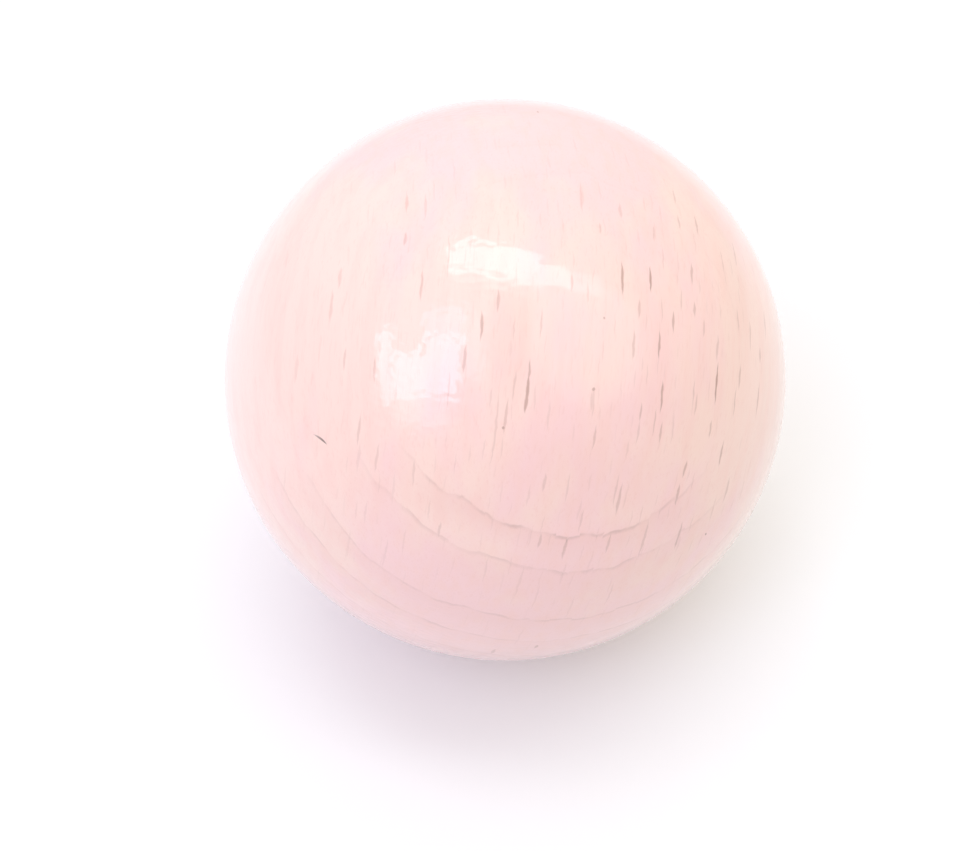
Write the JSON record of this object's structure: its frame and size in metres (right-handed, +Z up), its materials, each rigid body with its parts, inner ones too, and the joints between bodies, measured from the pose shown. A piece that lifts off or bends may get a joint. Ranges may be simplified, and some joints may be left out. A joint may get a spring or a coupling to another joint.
{
  "type": "wooden ball",
  "caption": "Solid turned beech ball: a true sphere of pale pinkish wood with fine ray flecks, curved growth rings and a clear glossy coat.",
  "frame": {"origin": "centre of the ball", "axes": "+Z up, as the ball lies on a table; a ball has no front, and the grain runs front to back, tipped down at the front"},
  "size_m": [0.04, 0.04, 0.04],
  "materials": {
    "lacquered_beech": "gloss"
  },
  "bodies": {
    "root": {"ball": "lacquered_beech"}
  },
  "joints": []
}
